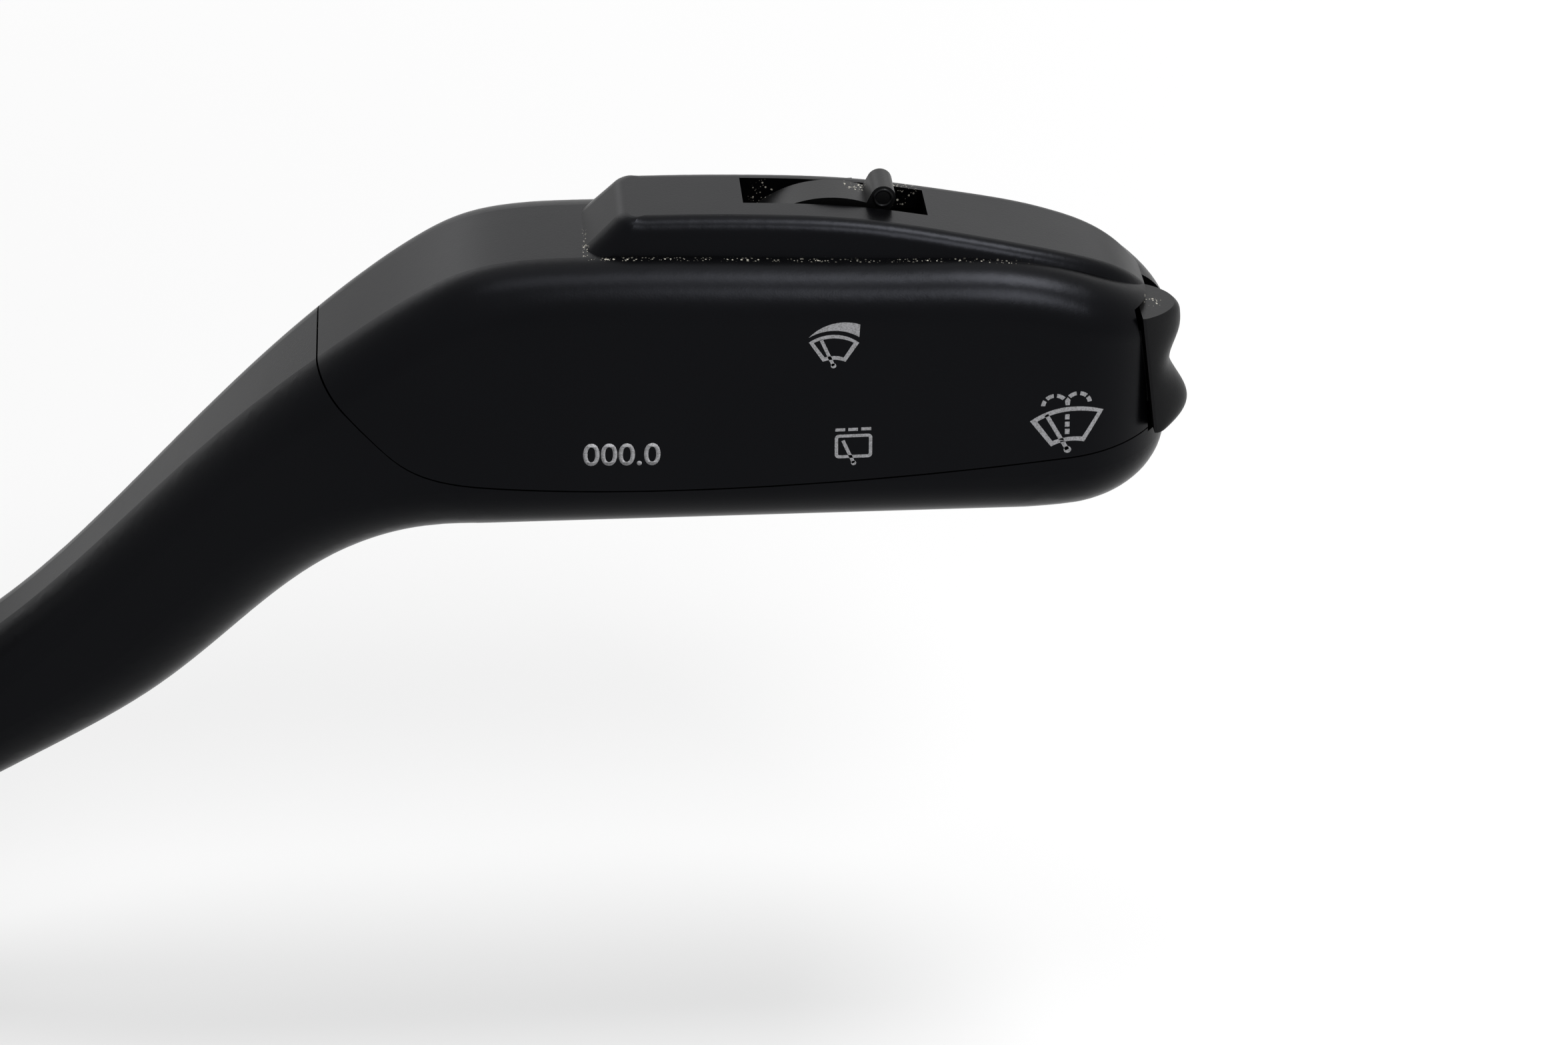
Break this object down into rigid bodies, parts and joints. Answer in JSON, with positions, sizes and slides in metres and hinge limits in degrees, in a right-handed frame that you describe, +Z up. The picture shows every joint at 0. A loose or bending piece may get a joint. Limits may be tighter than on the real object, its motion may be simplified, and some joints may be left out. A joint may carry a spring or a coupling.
{
  "type": "combination stalk switch",
  "caption": "Steering-column wiper stalk: two-axis switch base with swan-neck lever, hollow grip, interval wheel, tip rocker and reset button.",
  "frame": {"origin": "midway between the two mounting holes, on the mounting face of the switch base", "axes": "+X along the lever to its tip, +Y out of the mounting face, away from the driver, +Z up"},
  "size_m": [0.2064, 0.041, 0.1006],
  "materials": {
    "grip_plastic": "fine satin grain",
    "control_plastic": "satin",
    "housing_plastic": "moulded, slightly grained",
    "natural_plastic": "natural acetal",
    "switch_plastic": "smooth moulded",
    "circuit_board": "solder resist",
    "silicone": "matte",
    "wire": "smooth sleeve",
    "steel": "bright",
    "tinned_brass": "bright"
  },
  "bodies": {
    "base": {"base_housing": "housing_plastic", "base_cover": "housing_plastic", "cover_screws": "steel", "mount_bushes": "steel", "base_board": "circuit_board", "contact_frame": "natural_plastic", "frame_screws": "steel", "detent_plate": "natural_plastic", "terminal_blades": "tinned_brass", "harness_loop": "wire"},
    "yoke": {"yoke": "natural_plastic"},
    "lever": {"lever_body": "grip_plastic", "grip_cover": "grip_plastic", "grip_screws": "steel", "pivot_pin": "steel", "grip_board": "circuit_board", "tip_board": "circuit_board", "switch_mat": "silicone", "reset_switch": "switch_plastic", "harness_plug": "switch_plastic", "harness": "wire", "wheel_pin": "steel", "rocker_pin": "steel", "detent_spring": "steel"},
    "wheel": {"interval_wheel": "control_plastic", "wheel_brush": "tinned_brass"},
    "rocker": {"menu_rocker": "control_plastic"},
    "button": {"reset_button": "control_plastic"},
    "plunger": {"detent_plunger": "natural_plastic"},
    "wiper_contact": {"wiper_slide": "switch_plastic", "wiper_bridge": "tinned_brass"},
    "wash_contact": {"wash_slide": "switch_plastic", "wash_bridge": "tinned_brass"}
  },
  "joints": [
    {"name": "wiper_select", "type": "hinge", "parent": "base", "child": "yoke", "pos_m": [0, -0.016, 0], "axis": [0, -1, 0], "range_deg": [-5.5, 16.5], "deforming": ["harness_loop"]},
    {"name": "wash_pull", "type": "hinge", "parent": "yoke", "child": "lever", "pos_m": [0, -0.016, 0], "axis": [0, 0, -1], "range_deg": [-8.5, 7], "stiffness_Nm_per_rad": 0.6, "deforming": ["harness_loop"]},
    {"name": "detent_travel", "type": "slide", "parent": "lever", "child": "plunger", "axis": [1, 0, 0], "range_m": [0, 0.0008], "stiffness_N_per_m": 1200, "springref_m": -0.002, "deforming": ["detent_spring"]},
    {"name": "interval_wheel_turn", "type": "hinge", "parent": "lever", "child": "wheel", "pos_m": [0.1333, -0.02495, 0.0551], "axis": [0, 1, 0], "range_deg": [-52, 0]},
    {"name": "menu_rock", "type": "hinge", "parent": "lever", "child": "rocker", "pos_m": [0.159, -0.0306, 0.0484], "axis": [0, 1, 0], "range_deg": [-3.5, 3.5], "stiffness_Nm_per_rad": 0.3, "deforming": ["switch_mat"]},
    {"name": "reset_press", "type": "slide", "parent": "lever", "child": "button", "axis": [0, 0, 1], "range_m": [0, 0.0008], "stiffness_N_per_m": 800, "springref_m": -0.001},
    {"name": "wiper_contact_slide", "type": "slide", "parent": "base", "child": "wiper_contact", "axis": [1, 0, 0], "range_m": [-0.00116, 0.00346]},
    {"name": "wash_contact_slide", "type": "slide", "parent": "base", "child": "wash_contact", "axis": [0, 1, 0], "range_m": [-0.00194, 0.0016]}
  ],
  "couplings": [
    {"joint": "wiper_contact_slide", "follows": "wiper_select", "m_per_rad": 0.012},
    {"joint": "wash_contact_slide", "follows": "wash_pull", "m_per_rad": 0.013}
  ]
}
